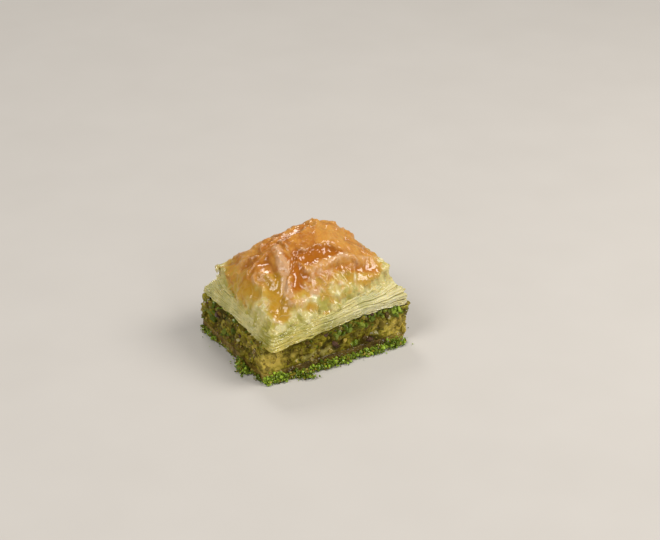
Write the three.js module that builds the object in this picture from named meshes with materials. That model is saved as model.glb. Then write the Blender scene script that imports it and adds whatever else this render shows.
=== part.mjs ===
import * as THREE from "three";

// A square-cut piece of layered pastry with a nut filling, resting on z = 0. Sizes in millimetres, +Z up.
const LENGTH = 52; // the foot, along x
const WIDTH = 42; // the foot, along y
const FOOT_MIDDLE = [-0.6, 0.8]; // the crust hangs out further at the front right than the foot
const SHEETS_TOP = 3.4; // soaked sheets under the filling
const FILLING_TOP = 12.6; // flat face that the crust lies on
const PEAK = [5.0, 5.4, 36.8]; // highest point of the crust
const DOME_POWER = [0.74, 1.02]; // left and right; below 1 the crust rises steeply behind its rim
const SIDE_STEPS = 20; // points along each side of an outline
const MIDDLE_OF_BOX = [0.6, -0.1]; // of everything below, which the finished piece is centred on

// Corners of the crust, from the front left round to the back left: its lower edge, the top of the lower
// leaves, the foot of the upper leaves that stand back from them, and the rim of the upper leaves.
const EDGE_TIPS = [
  [-25.8, -23.4, 12.6],
  [26.4, -19.8, 13.8],
  [25.8, 23.2, 13.2],
  [-25.8, 21.0, 13.6],
];
const TIER_TIPS = [
  [-25.0, -22.2, 15.0],
  [26.7, -20.0, 16.8],
  [25.2, 22.4, 16.4],
  [-25.4, 20.7, 15.2],
];
const STEP_TIPS = [
  [-24.2, -21.2, 16.4],
  [24.6, -12.8, 20.0],
  [23.8, 20.6, 18.6],
  [-21.8, 19.4, 18.0],
];
const RIM_TIPS = [
  [-23.2, -19.8, 18.4],
  [24.8, -12.6, 24.6],
  [22.8, 19.2, 24.2],
  [-22.0, 20.0, 22.8],
];
// How far each side is drawn in, how far it is lifted, and where along the side (1 is the middle).
const EDGE_BOWS = [
  { depth: 0.9, lift: 0.4, skew: 1.6 },
  { depth: 0.8, lift: 0.4, skew: 1.0 },
  { depth: 0.9, lift: 0.9, skew: 0.8 },
  { depth: 0.3, lift: 0.3, skew: 1.2 },
];
const TIER_BOWS = [
  { depth: 0.5, lift: 0.3, skew: 1.5 },
  { depth: 1.0, lift: 0.6, skew: 1.0 },
  { depth: 0.9, lift: 0.4, skew: 0.9 },
  { depth: 0.2, lift: 0.2, skew: 1.0 },
];
const STEP_BOWS = [
  { depth: -2.6, lift: 0.2, skew: 1.2 },
  { depth: 0.2, lift: 0.4, skew: 1.0 },
  { depth: 0.0, lift: 0.4, skew: 1.0 },
  { depth: -1.4, lift: 0.2, skew: 0.8 },
];
const RIM_BOWS = [
  { depth: -2.2, lift: -0.6, skew: 1.2 },
  { depth: 0.2, lift: 0.6, skew: 1.0 },
  { depth: -0.4, lift: 2.0, skew: 1.2 },
  { depth: -0.8, lift: 0.6, skew: 0.8 },
];

// Broad folds of the crust: a line from one point to another, its height and its half width.
const FOLDS = [
  { from: [-9, 2], to: [-16, -14], height: 1.1, spread: 1.9 },
  { from: [-9, -2], to: [-6, -9], height: -1.5, spread: 2.4 },
  { from: [-4, -7], to: [6, -8], height: -1.3, spread: 2.4 },
  { from: [-8, -13], to: [10, -11], height: 0.9, spread: 1.7 },
  { from: [-10, -13], to: [-7, -15], height: -1.0, spread: 1.8 },
  { from: [5, -15], to: [18, -16], height: -0.8, spread: 1.6 },
  { from: [-8, 3], to: [6, 5], height: -0.8, spread: 1.8 },
];

const mix = (a, b, s) => a + (b - a) * s;

// A closed ring of points through four corners, each side bowed in the plane and in height.
function ring(tips, bows) {
  const points = [];
  tips.forEach((a, side) => {
    const b = tips[(side + 1) % 4];
    const { depth, lift, skew } = bows[side];
    const length = Math.hypot(b[0] - a[0], b[1] - a[1]);
    const inward = [(a[1] - b[1]) / length, (b[0] - a[0]) / length];
    for (let k = 0; k < SIDE_STEPS; k++) {
      const s = (1 - Math.cos((Math.PI * k) / SIDE_STEPS)) / 2;
      const arc = Math.sin(Math.PI * s ** skew);
      points.push([
        mix(a[0], b[0], s) + inward[0] * depth * arc,
        mix(a[1], b[1], s) + inward[1] * depth * arc,
        mix(a[2], b[2], s) + lift * arc,
      ]);
    }
  });
  return points;
}

// The ring drawn in towards a point by a fraction, with its heights from a function.
function drawnIn(points, middle, fraction, height) {
  return points.map(([x, y, z]) => {
    const px = mix(x, middle[0], fraction);
    const py = mix(y, middle[1], fraction);
    return [px, py, height(px, py, z)];
  });
}

// A closed solid from a stack of equal rings, closed by one point at each end.
function solid(rings, first, last) {
  const count = rings[0].length;
  const positions = [first, ...rings.flat(), last].flat();
  const index = [];
  const at = (r, k) => 1 + r * count + (k % count);
  for (let k = 0; k < count; k++) index.push(0, at(0, k + 1), at(0, k));
  for (let r = 0; r + 1 < rings.length; r++) {
    for (let k = 0; k < count; k++) {
      index.push(at(r, k), at(r, k + 1), at(r + 1, k + 1));
      index.push(at(r, k), at(r + 1, k + 1), at(r + 1, k));
    }
  }
  const top = 1 + rings.length * count;
  const end = rings.length - 1;
  for (let k = 0; k < count; k++) index.push(at(end, k), at(end, k + 1), top);
  const geometry = new THREE.BufferGeometry();
  geometry.setAttribute("position", new THREE.Float32BufferAttribute(positions, 3));
  geometry.setIndex(index);
  return geometry;
}

// Height that the folds add at a point of the crust.
function foldHeight(x, y) {
  let sum = 0;
  for (const { from, to, height, spread } of FOLDS) {
    const along = [to[0] - from[0], to[1] - from[1]];
    const s = ((x - from[0]) * along[0] + (y - from[1]) * along[1]) / (along[0] ** 2 + along[1] ** 2);
    const t = Math.min(1, Math.max(0, s));
    const away = Math.hypot(x - mix(from[0], to[0], t), y - mix(from[1], to[1], t));
    sum += height * Math.exp(-((away / spread) ** 2));
  }
  return sum;
}

// The dome: full height at the peak, less over the corners than over the sides.
function domeRing(rim, fraction) {
  const reach = 1 - fraction;
  return rim.map(([x, y, z], k) => {
    const side = Math.floor(k / SIDE_STEPS);
    const start = RIM_TIPS[side];
    const way = [0, 1].map((i) => RIM_TIPS[(side + 1) % 4][i] - start[i]);
    const along = ([px, py]) =>
      ((px - start[0]) * way[0] + (py - start[1]) * way[1]) / (way[0] ** 2 + way[1] ** 2);
    const [here, foot] = [along([x, y]), along(PEAK)];
    const corner = here > foot ? (here - foot) / (1 - foot) : (foot - here) / foot;
    const rise = (1 - reach ** 2) * (1 - (corner * reach) ** 2);
    const power = mix(...DOME_POWER, x / LENGTH + 0.5);
    const px = mix(x, PEAK[0], fraction);
    const py = mix(y, PEAK[1], fraction);
    const fold = foldHeight(px, py) * Math.min(1, 5 * fraction);
    return [px, py, z + (PEAK[2] - z) * Math.max(0, rise) ** power + fold];
  });
}

function topPastry() {
  const edge = ring(EDGE_TIPS, EDGE_BOWS);
  const rim = ring(RIM_TIPS, RIM_BOWS);
  const under = [PEAK[0], 0, FILLING_TOP];
  const fractions = [0.02, 0.05, 0.09, 0.14, 0.2, 0.27, 0.35, 0.44, 0.54, 0.65, 0.77, 0.89];
  const rings = [
    drawnIn(edge, under, 0.14, () => FILLING_TOP),
    edge,
    ring(TIER_TIPS, TIER_BOWS),
    ring(STEP_TIPS, STEP_BOWS),
    rim,
    ...fractions.map((f) => domeRing(rim, f)),
  ];
  return solid(rings, under, [...PEAK.slice(0, 2), PEAK[2] + foldHeight(PEAK[0], PEAK[1])]);
}

// A slab with slightly rounded corners, its right end leaning out, whose upright faces bulge and dip as a cut
// through nuts does.
function slab({ bottom, top, inset, lean, relief, waves }) {
  const levels = [0, 0.2, 0.4, 0.6, 0.8, 1];
  const [cx, cy] = FOOT_MIDDLE;
  const [halfX, halfY] = [LENGTH / 2 - inset, WIDTH / 2 - inset];
  const straight = { depth: 0, lift: 0, skew: 1 };
  const rings = levels.map((level) => {
    const tips = [
      [cx - halfX, cy - halfY, 0],
      [cx + halfX + mix(...lean, level), cy - halfY, 0],
      [cx + halfX + mix(...lean, level), cy + halfY, 0],
      [cx - halfX, cy + halfY, 0],
    ];
    return ring(tips, [straight, straight, straight, straight]).map(([x, y]) => {
      const angle = Math.atan2(y - cy, x - cx);
      const corner = Math.min(1, Math.abs(x - cx) / halfX, Math.abs(y - cy) / halfY);
      const wave = Math.sin(waves * angle + 7 * level) + Math.sin(1.7 * waves * angle - 4 * level);
      const inwards = relief * (1 + wave / 2) * Math.sin(Math.PI * (0.12 + 0.76 * level));
      const scale = 1 - (inwards + 0.9 * corner ** 14) / Math.hypot(x - cx, y - cy);
      return [cx + (x - cx) * scale, cy + (y - cy) * scale, mix(bottom, top, level)];
    });
  });
  return solid(rings, [cx, cy, bottom], [cx, cy, top]);
}

function node(name, geometry, color, roughness) {
  const material = new THREE.MeshStandardMaterial({ color, roughness, metalness: 0, flatShading: true });
  const mesh = new THREE.Mesh(geometry, material);
  mesh.name = name;
  return mesh;
}

const sheets = slab({ bottom: 0, top: SHEETS_TOP, inset: 0, lean: [0, 1], relief: 0.25, waves: 9 });
const nuts = { inset: 0.2, lean: [1.4, 2.6], relief: 0.5, waves: 11 };
const filling = slab({ bottom: SHEETS_TOP, top: FILLING_TOP, ...nuts });

const piece = new THREE.Group();
piece.position.set(...MIDDLE_OF_BOX.map((c) => -c), 0);
piece.add(node("bottom_pastry", sheets, 0x8a6a22, 0.45));
piece.add(node("pistachio_filling", filling, 0x5c6420, 0.6));
piece.add(node("top_pastry", topPastry(), 0xc8873c, 0.35));

export default piece;
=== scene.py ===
"""A piece of baklava: a crumpled, syrup-glazed crust of thin leaves over chopped pistachio and soaked sheets."""

import math
import random
from typing import NamedTuple

import bmesh
import bpy
import numpy as np
from mathutils import Euler, Matrix, Vector, noise


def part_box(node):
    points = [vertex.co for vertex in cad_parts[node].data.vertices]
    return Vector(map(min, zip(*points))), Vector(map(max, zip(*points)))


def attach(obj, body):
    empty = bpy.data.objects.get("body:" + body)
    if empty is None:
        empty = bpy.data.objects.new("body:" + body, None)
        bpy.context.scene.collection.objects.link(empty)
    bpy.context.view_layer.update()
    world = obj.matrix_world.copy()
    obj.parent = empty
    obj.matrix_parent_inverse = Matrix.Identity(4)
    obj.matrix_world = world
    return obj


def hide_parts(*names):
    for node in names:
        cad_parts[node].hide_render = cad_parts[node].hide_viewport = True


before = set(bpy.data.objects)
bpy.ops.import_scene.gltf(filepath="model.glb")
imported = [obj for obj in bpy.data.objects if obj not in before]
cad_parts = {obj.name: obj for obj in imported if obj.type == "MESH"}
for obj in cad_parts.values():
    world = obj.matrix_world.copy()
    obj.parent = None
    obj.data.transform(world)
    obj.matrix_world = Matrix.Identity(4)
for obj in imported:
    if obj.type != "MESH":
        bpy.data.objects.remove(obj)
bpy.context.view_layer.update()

# Modelling is in millimetres; a finished piece is scaled to metres.
MM = 0.001


def node_box(name):
    low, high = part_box(name)
    return np.array(low) / MM, np.array(high) / MM


CRUST_LOW, CRUST_HIGH = node_box("top_pastry")
NUTS_LOW, NUTS_HIGH = node_box("pistachio_filling")
FOOT_LOW, FOOT_HIGH = node_box("bottom_pastry")
FOOT_CORNER = FOOT_LOW * (1, 1, 0)  # the front left corner, on the floor
BED = CRUST_LOW[2]  # the flat top of the filling, which the crust lies on
MARK = CRUST_LOW[:2] + (25.8, 23.4)  # the point that folds and stains of the crust are measured from
PEAK_HEIGHT = 24.2  # over the bed
PEAK = np.array([*(MARK + (5.0, 5.4)), BED + PEAK_HEIGHT])

# ---- shape tools


def moved(bm, positions):
    for vert, place in zip(bm.verts, positions):
        vert.co = place


def layer_values(bm, **layers):
    """Gives the vertices one value, or one each, in every named layer."""
    for name, values in layers.items():
        layer = bm.verts.layers.float.new(name)
        for vert, value in zip(bm.verts, np.broadcast_to(values, len(bm.verts))):
            vert[layer] = float(value)


def sheet(columns, rows, size=1):
    """A flat grid of so many faces, and where each vertex lies on it, from -size to size both ways."""
    bm = bmesh.new()
    bmesh.ops.create_grid(bm, x_segments=columns, y_segments=rows, size=size)
    a, b = np.array([v.co[:2] for v in bm.verts]).T
    return bm, a, b


def as_mesh(name, bm):
    """Gives the shape as a mesh and frees it."""
    mesh = bpy.data.meshes.new(name)
    bm.to_mesh(mesh)
    bm.free()
    return mesh


def placed(name, data):
    """A new object in the scene, at the origin."""
    made = bpy.data.objects.new(name, data)
    bpy.context.scene.collection.objects.link(made)
    return made


def joined(parts):
    """One shape of several, with their layers."""
    whole = bmesh.new()
    for part in parts:
        mesh = as_mesh("part", part)
        whole.from_mesh(mesh)
        bpy.data.meshes.remove(mesh)
    return whole


def finished(name, bm, finish, smooth=True, stands_for=()):
    """Turns a shape in millimetres into a piece that rides with the part."""
    bm.transform(Matrix.Scale(MM, 4))
    for face in bm.faces:
        face.smooth = smooth
    mesh = as_mesh(name, bm)
    mesh.materials.append(finish)
    piece = placed(name, mesh)
    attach(piece, "root")
    if stands_for:
        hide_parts(*stands_for)


def rough(points, size, seed=0.0, octaves=3):
    """Fractal noise, about -1 to 1, at each point, with lumps of a size in millimetres."""
    offset = Vector((seed, 1.7 * seed, 2.3 * seed))
    return np.array([noise.fractal(Vector(p) / size + offset, 0.8, 2.1, octaves) for p in points])


def ridged(points, size, seed=0.0):
    """Soft cushions between sharp creases, 0 at a crease and up to 1 between them."""
    return np.minimum(1, 2.2 * np.abs(rough(points, size, seed, 2)))


def cells(points, size, seed=0.0):
    """Distance to the middle of the nearest lump, 0 to about 1."""
    offset = Vector((seed, seed, seed))
    return np.array([noise.voronoi(Vector(p) / size + offset)[0][0] for p in points])


def ramp(low, high, value):
    """0 at low, 1 at high, smooth between."""
    t = np.clip((value - low) / (high - low), 0, 1)
    return t * t * (3 - 2 * t)


# ---- the crust's plain form

CORNERS = np.array([(x, y) for x, y in (
    (CRUST_LOW[0], CRUST_LOW[1]), (CRUST_HIGH[0], CRUST_LOW[1]),
    (CRUST_HIGH[0], CRUST_HIGH[1]), (CRUST_LOW[0], CRUST_HIGH[1]))])
INWARD = np.array([(1, 1), (-1, 1), (-1, -1), (1, -1)])


def crust_ring(rounding, tips, bows):
    """A ring round the crust. Each tip is set in from a corner of the box by two sizes and stands at a height
    over the filling; each bow says how far a side is drawn in, lifted, and skewed along its length."""
    tips = np.array(tips)
    return np.column_stack([CORNERS + INWARD * tips[:, :2], BED + tips[:, 2]]), np.array(bows), np.array(rounding)


EDGE = crust_ring(
    (0.6, 0.3, 0.5, 0.1),
    [(0, 0, 0), (0.3, 3.6, 1.2), (0.9, 0, 0.6), (0, 2.2, 1)],
    [(0.9, 0.4, 1.6), (0.8, 0.4, 1), (0.9, 0.9, 0.8), (0.3, 0.3, 1.2)])
TIER = crust_ring(
    (0.9, 0.2, 0.8, 0.1),
    [(0.8, 1.2, 2.4), (0, 3.4, 4.2), (1.5, 0.8, 3.8), (0.4, 2.5, 2.6)],
    [(0.5, 0.3, 1.5), (1, 0.6, 1), (0.9, 0.4, 0.9), (0.2, 0.2, 1)])
STEP = crust_ring(
    (1.4, 1, 1.2, 0.4),
    [(1.6, 2.2, 3.8), (2.1, 10.6, 7.4), (2.9, 2.6, 6), (4, 3.8, 5.4)],
    [(-2.6, 0.2, 1.2), (0.2, 0.4, 1), (0, 0.4, 1), (-1.4, 0.2, 0.8)])
RIM = crust_ring(
    (1.6, 0.1, 1, 0),
    [(2.6, 3.6, 5.8), (1.9, 10.8, 12), (3.9, 4, 11.6), (3.8, 3.2, 10.2)],
    [(-2.2, -0.6, 1.2), (0.2, 0.6, 1), (-0.4, 2, 1.2), (-0.8, 0.6, 0.8)])
RINGS = (EDGE, TIER, STEP, RIM)


def split(turn):
    """The side and the place along it, for a way round of 0 to 4 from the front left corner."""
    turn = np.mod(turn, 4)
    side = np.minimum(turn.astype(int), 3)
    return side, turn - side


def outline(ring, turn):
    tips, bows, rounding = ring
    side, along = split(turn)
    start, end = tips[side], tips[(side + 1) % 4]
    depth, lift, skew = bows[side].T
    arc = np.sin(np.pi * along ** skew)
    way = (end - start)[:, :2]
    inward = np.column_stack([-way[:, 1], way[:, 0]]) / np.linalg.norm(way, axis=1)[:, None]
    place = start + (end - start) * along[:, None]
    place[:, :2] += inward * (depth * arc)[:, None]
    place[:, 2] += lift * arc
    corner = np.where(along < 0.5, side, (side + 1) % 4)
    place[:, :2] += INWARD[corner] * (0.7 * rounding[corner] * np.abs(2 * along - 1) ** 14)[:, None]
    return place


def wall(level, turn):
    """A point of the crust's cut side: level 0 at the lower edge, 3 at the rim."""
    lower = np.clip(level.astype(int), 0, 2)
    part = (level - lower)[:, None]
    rings = np.stack([outline(ring, turn) for ring in RINGS])
    index = np.arange(len(turn))
    return rings[lower, index] * (1 - part) + rings[lower + 1, index] * part


def draped(level, turn):
    """The same side with its steps softened, as the top sheets lie over it."""
    return (wall(np.clip(level - 0.4, 0, 3), turn) + wall(np.clip(level + 0.4, 0, 3), turn)) * 0.25 \
        + wall(level, turn) * 0.5


def outward(turn):
    """Level direction away from the crust, turning from one side to the next near a corner."""
    side, along = split(turn)
    facing = np.array([(0, -1), (1, 0), (0, 1), (-1, 0)])
    near = np.where(along < 0.5, -1, 1)
    share = 0.5 * np.abs(2 * along - 1) ** 10
    way = facing[side] * (1 - share)[:, None] + facing[(side + near) % 4] * share[:, None]
    way = way / np.linalg.norm(way, axis=1)[:, None]
    return np.column_stack([way, np.zeros(len(turn))])


def dome(reach, turn):
    """A point of the crust's top: reach 0 at the peak, 1 at the rim."""
    side, along = split(turn)
    rim = outline(RIM, turn)
    start, end = RIM[0][side, :2], RIM[0][(side + 1) % 4, :2]
    way = end - start
    foot = ((PEAK[:2] - start) * way).sum(1) / (way ** 2).sum(1)
    corner = np.where(along > foot, (along - foot) / (1 - foot), (foot - along) / foot)
    rise = np.clip((1 - reach ** 2) * (1 - (corner * reach) ** 2), 0, 1)
    span = CRUST_HIGH[0] - CRUST_LOW[0]
    power = 0.74 + 0.28 * np.clip((rim[:, 0] - CRUST_LOW[0]) / span, 0, 1)
    place = PEAK + (rim - PEAK) * reach[:, None]
    place[:, 2] = rim[:, 2] + (PEAK[2] - rim[:, 2]) * rise ** power
    return place


# ---- folds, stains and painted highlights of the crust


class Fold(NamedTuple):
    """A crease or a ridge along a path: its height, half width, and what it does to the colour."""

    path: list
    height: float
    width: float
    sharp: float = 2.0  # 2 rounds the crest, 1 gives it an edge
    # pale: the colour of dry ridges, also used for painted highlights and painted reflections
    pale: float = 0.0
    syrup: float = 0.0
    honey: float = 0.0
    golden: float = 0.0


FOLDS = [
    # the broad pale fold down the middle left, with a thin crest beside the syrup pocket that carries a painted
    # highlight
    Fold([(-10, -2), (-10.6, -4), (-11.6, -6.5), (-12.4, -9.5), (-13.6, -12.5), (-13.5, -15)],
         0.7, 2.1, 3, pale=0.85),
    Fold([(-9.2, 2.2), (-9.5, -0.5), (-10, -2.4)], 0.3, 1.7, 2.4, pale=0.9),
    Fold([(-10, -2), (-10.8, -4.6), (-12, -8.4), (-13.4, -12.2)], 0, 1.7, 3, pale=1.3),
    Fold([(-8.4, -4.8), (-10, -7.2), (-11.2, -9.4), (-12.2, -11.6)], 0.8, 0.55, 1.2, pale=1),
    Fold([(-13.4, 1), (-13.6, -3), (-14.4, -6.5)], -0.8, 1, 1.5, syrup=0.4),
    # hollow and pocket between them
    Fold([(-9.2, -1.8), (-8.2, -5)], -1.1, 1.1, syrup=1),
    Fold([(-7.6, -8.6), (-8.8, -11), (-9.6, -12)], -1.2, 1.9, 2.6, syrup=1),
    Fold([(-6.2, -9.5), (-6, -12.4)], -0.5, 1, syrup=0.8),
    # upright crease right of the hollow
    Fold([(-6.5, 4.4), (-6.9, 1.6), (-6.1, -1)], 0.7, 0.5, 1.3, pale=0.8),
    Fold([(-7.6, 3.6), (-7.7, 0.6)], -0.7, 0.6, 1.3),
    Fold([(-6, -2), (-6.1, -7.4)], 0.35, 0.45, 1.3, pale=0.3),
    # long strip of syrup under the smooth facet, and its two banks
    Fold([(-5.2, -4.6), (-3.6, -6.2), (1, -6.6), (5.6, -7.3)], -1.15, 2.2, 3, syrup=1),
    Fold([(5.6, -7.2), (8, -8.2)], -0.6, 1.2, 2.2, syrup=0.9),
    Fold([(-5.4, -3.2), (-2.8, -3.9), (0, -4.5), (4.8, -4.2)], 0.35, 0.6, 1.3, pale=0.35),
    Fold([(-5, -9.9), (-1.5, -10.4), (3, -10), (8, -9.4), (12, -9.8)], 0.9, 1.3, pale=0.85, golden=0.8),
    Fold([(-6.5, -13.4), (-4, -12.2), (-1, -11.4)], 0.4, 1.3, pale=1),
    # painted glints along the upper bank of the strip
    Fold([(-3.2, -3.8), (-1.6, -4.6)], 0.4, 0.5, 1.2, pale=0.9),
    Fold([(0.6, -4.5), (1.8, -4.4)], 0.4, 0.45, 1.2, pale=0.8),
    Fold([(-5.6, -5.2), (-4.2, -5.8)], 0.55, 0.5, 1.2, pale=0.7),
    # the flap behind the smooth facet
    Fold([(-8, 2.4), (-4, 2.2), (0, 2.2), (3.2, 3.4)], 0.5, 0.7, 1.4, pale=0.25),
    Fold([(-5.4, 4.4), (-1.5, 4.8), (2.4, 5.8), (4.4, 7)], -0.6, 2, 2.2, syrup=0.55),
    Fold([(-4.4, 4), (-1.2, 4.2), (2.2, 5.4), (4.2, 7)], -0.35, 0.4, 1.3, syrup=0.9),
    Fold([(0.4, 12.4), (5, 10.8)], -0.7, 2.6),
    # short folds of the right slope
    Fold([(8.2, 6), (6.8, 4), (5.2, 2)], 0.5, 0.7, 1.4, pale=0.45),
    Fold([(10, 5), (8.4, 1.8)], -0.5, 1.2, 1.8, syrup=0.35),
    Fold([(12.8, 1), (15, 2.6), (17, 4.4)], 0.7, 1, 1.6, pale=0.6),
    Fold([(8.6, -9.8), (12, -10.6), (16, -9.6), (20, -9), (23, -9.6)], 0.9, 1.2, 1.6, pale=0.8),
    Fold([(11.2, -11), (10.2, -13.2), (9, -16)], 0.8, 0.6, 1.3, pale=0.85),
    Fold([(12, -12.6), (19.4, -13)], -0.6, 1.3, 2.4, syrup=0.65),
    Fold([(5.8, -12.4), (6.8, -14)], -0.9, 1.3, 2.2, syrup=0.7),
    # a painted pink highlight in the small pocket
    Fold([(6.2, -12.6), (6.9, -13.4)], 0.5, 0.4, 1.3, pale=0.8),
    Fold([(3.8, -12.4), (7.2, -11.2)], -0.5, 0.4, 1.2),
    # a painted highlight on the shoulder
    Fold([(3.6, -15.2), (6.4, -16)], 0.5, 0.6, 1.4, pale=0.9),
    # star of wrinkles at the front
    Fold([(-1.8, -13.2), (-0.6, -14.8), (1.6, -15.3)], 0.7, 0.45, 1.2, pale=0.9),
    Fold([(-0.6, -14.8), (-3, -15.8)], 0.6, 0.5, 1.2, pale=0.7),
    Fold([(0.3, -13.2), (-0.5, -14.7)], 0.5, 0.4, 1.2, pale=0.7),
    # rounded shoulder along the front, pale on its bulge, with painted white highlights
    Fold([(-13.4, -15.8), (-10.6, -16.4), (-6, -15.7), (-2.4, -15.6)], 0.5, 1.3, 1.8, pale=0.8),
    Fold([(-12.4, -16.4), (-10.4, -16.9)], 0.3, 0.8, 1.6, pale=1),
    Fold([(1.6, -18), (3.4, -19.4), (4, -20.4)], 0.5, 0.7, 1.5, pale=1),
    Fold([(7.4, -17.6), (9.6, -18.4)], 0.4, 1, 1.8, pale=1),
    Fold([(13.4, -17.4), (17.4, -17.2), (20.4, -16.4)], 0.4, 1, 1.8, pale=0.95),
    Fold([(-16.6, -18.6), (-15.6, -20.4)], 0.4, 0.6, 1.5, pale=0.9),
    Fold([(-20.6, -16.6), (-19.4, -19)], 0.5, 0.7, 1.5, pale=0.9),
    # wrinkles of the left slope
    Fold([(-17.8, 9.6), (-16.2, 7), (-14.6, 5)], 0.6, 0.8, 1.6, pale=0.75),
    Fold([(-16, 8.4), (-13.8, 5.2)], -0.8, 0.6, 1.4, syrup=0.6),
    Fold([(-12.6, 8.6), (-11.8, 6.4)], 0.3, 0.7, 1.5, pale=0.3),
    Fold([(-19.2, 7.4), (-17.2, 4.6)], -0.7, 1.1, 1.6, syrup=0.6),
    Fold([(-20.2, 2.9), (-17.5, 2.4), (-13, 3)], 0.6, 0.5, 1.3, pale=0.5),
    Fold([(-15, 1), (-14.8, -3)], -0.5, 1.4, syrup=0.5),
    Fold([(-18.8, -0.6), (-19.3, -3.4), (-18.4, -5.4)], 0.6, 0.55, 1.3, pale=0.8),
    Fold([(-17.4, -2), (-16, -4.6), (-15.6, -7.6)], 0.6, 0.9, 1.6, pale=0.6),
    Fold([(-20.2, -8), (-18.8, -5.8)], 0.4, 0.35, 1.2, pale=0.6),
    Fold([(-18, -6.5), (-17.5, -9.5)], -0.3, 1.2, syrup=0.15),
    # the amber tongue that runs to the front left corner
    Fold([(-16.4, -7.6), (-17.4, -12), (-18.4, -15), (-18.9, -16.6)], -0.4, 2.6, 2.6),
    Fold([(-15.2, -8), (-16.6, -12.5), (-18, -16)], 0, 3.4, 3, honey=1),
    Fold([(-21.6, 1), (-21.2, -7)], 0, 1.6, 2.4, honey=0.8),
    Fold([(-8.6, -18), (-6.4, -18.4)], 0, 1.4, honey=0.7),
    Fold([(-2.4, -16.8), (-0.6, -17.6)], 0, 1.3, honey=0.6),
    Fold([(10, -15.8), (15, -15.4)], 0, 1.3, honey=0.6),
    Fold([(-4, -12.2), (3, -12.8)], 0, 2.5, 2.6, pale=0.5),
    Fold([(-19.4, -2.4), (-17.6, -5.4)], 0, 1.6, 2.4, pale=0.5),
    # painted white highlights on the tongue
    Fold([(-20.2, -14.4), (-19, -15.2)], 0.5, 0.4, 1.3, pale=0.9),
    Fold([(-16.8, -14.6), (-15.8, -14.7)], 0.4, 0.35, 1.3, pale=0.7),
    Fold([(-22.6, -9.5), (-22.2, -13), (-21.6, -17)], 0.6, 0.6, 1.5, pale=0.6),
    Fold([(-21.4, -1), (-21, -6)], -0.4, 1.2, syrup=0.35),
    # dips and rises along the crest, from side to side
    Fold([(-8, 15.8), (-4, 14.2), (0.4, 12.4)], -1.25, 3.6, 2.4),
    Fold([(4.4, 5.6), (5.6, 5.2)], -0.9, 1.5),
    Fold([(8, 6), (11, 4)], 0.5, 2.6),
    Fold([(12.6, 6.4), (14.2, 5.8)], 0.4, 1.6),
    Fold([(17, 8), (20.4, 6.4), (21.6, 1)], -0.45, 1.5),
    Fold([(18.4, 3), (19.6, 2.4)], 0.7, 1.2),
    Fold([(0.6, 15.6), (3, 14.6)], -0.6, 2),
    Fold([(-10.4, 11.4), (-8, 10.8)], 0.9, 2.2),
    # the far slopes
    Fold([(-20, 9), (-17, 10.5), (-12, 11.5)], 0, 2.6, 2.4, golden=1),
    Fold([(1, 9), (-2, 13), (-3.5, 18)], 0.9, 1.1, 1.6, pale=0.6),
    Fold([(-6, 9), (-8.5, 13), (-9, 17)], -0.9, 1.3, syrup=0.7),
    Fold([(-14, 10), (-15.5, 14), (-16.5, 17)], 0.8, 1, 1.5, pale=0.7),
    Fold([(-18.5, 12), (-19.5, 16)], -0.6, 1.1, syrup=0.5),
    Fold([(4, 10.5), (5.5, 14), (5, 18)], -1, 1.2, 2.2, syrup=0.8),
    Fold([(8.5, 9.5), (11, 13), (12, 18)], 1, 0.9, 1.4, pale=0.7),
    Fold([(12.5, 8.5), (16, 11.5), (18, 16)], -0.9, 1.3, syrup=0.7),
    Fold([(13.5, 5.5), (18, 8), (22, 9)], 0.8, 0.8, 1.4, pale=0.6),
    Fold([(14, -2.5), (18, -3), (22.5, -2)], -0.7, 1.1, 1.8, syrup=0.5),
    Fold([(17, 0.5), (21, 3.5), (22.5, 4.5)], 0.6, 0.7, 1.4, pale=0.5),
]


def distance_to(path, x, y):
    best = np.full(len(x), 1e9)
    for (x0, y0), (x1, y1) in zip(path, path[1:]):
        dx, dy = x1 - x0, y1 - y0
        t = np.clip(((x - x0) * dx + (y - y0) * dy) / (dx * dx + dy * dy), 0, 1)
        best = np.minimum(best, np.hypot(x - x0 - t * dx, y - y0 - t * dy))
    return best


def folded(places):
    """Height, and pale (dry leaf and painted highlights), syrup, honey and golden colour, that the folds give at
    points of the crust.
    """
    flat = places * (1, 1, 0)
    x = places[:, 0] - MARK[0] + 0.5 * rough(flat, 3.2, 5)
    y = places[:, 1] - MARK[1] + 0.5 * rough(flat, 3.2, 9)
    height, pale, syrup, honey, golden = np.zeros((5, len(x)))
    breaks = 0.5 + 0.9 * rough(flat, 1.3, 14) + 0.5 * rough(flat, 4, 15)
    for fold in FOLDS:
        share = np.exp(-(distance_to(fold.path, x, y) / fold.width) ** fold.sharp)
        height += fold.height * share * (0.9 + 0.1 * breaks)
        pale = np.maximum(pale, fold.pale * share * np.clip(0.4 + 0.75 * breaks, 0, 1))
        syrup = np.maximum(syrup, fold.syrup * np.minimum(1, 1.35 * share))
        honey = np.maximum(honey, fold.honey * share)
        golden = np.maximum(golden, fold.golden * share)
    return height, pale, syrup, honey, golden


# ---- the pastry pieces

CRUST_GRID = (284, 240)
DRAPE = 0.3  # share of the sheet that hangs over the rim
SOFTENING = 14  # how many times the peak and the rim are smoothed
# Steps of the edge of the top sheets down to the bed: the share of the way, and how far in.
TUCKS = ((0.1, 0.7), (0.5, 0.9), (0.85, 1.3), (1.0, 3.2))


def way_round(a, b, reach):
    """The way round, 0 to 4, of each point of a square sheet laid over the crust."""
    reach = np.maximum(reach, 1e-6)
    return np.select(
        [-b >= np.abs(a), a >= np.abs(b), b >= np.abs(a)],
        [(a / reach + 1) / 2, 1 + (b / reach + 1) / 2, 2 + (1 - a / reach) / 2],
        3 + (1 - b / reach) / 2)


def hem_level(rim):
    """How far down the cut side the top sheets hang, below each point of the rim."""
    hem = 1.3 + 0.5 * ramp(-8, -17, rim[:, 1]) + 0.3 * ramp(14, 20, rim[:, 1])
    return np.clip(hem + 0.4 * rough(rim, 6, 3) + 0.35 * rough(rim, 1.7, 4), 0.85, 2.5)


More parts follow.
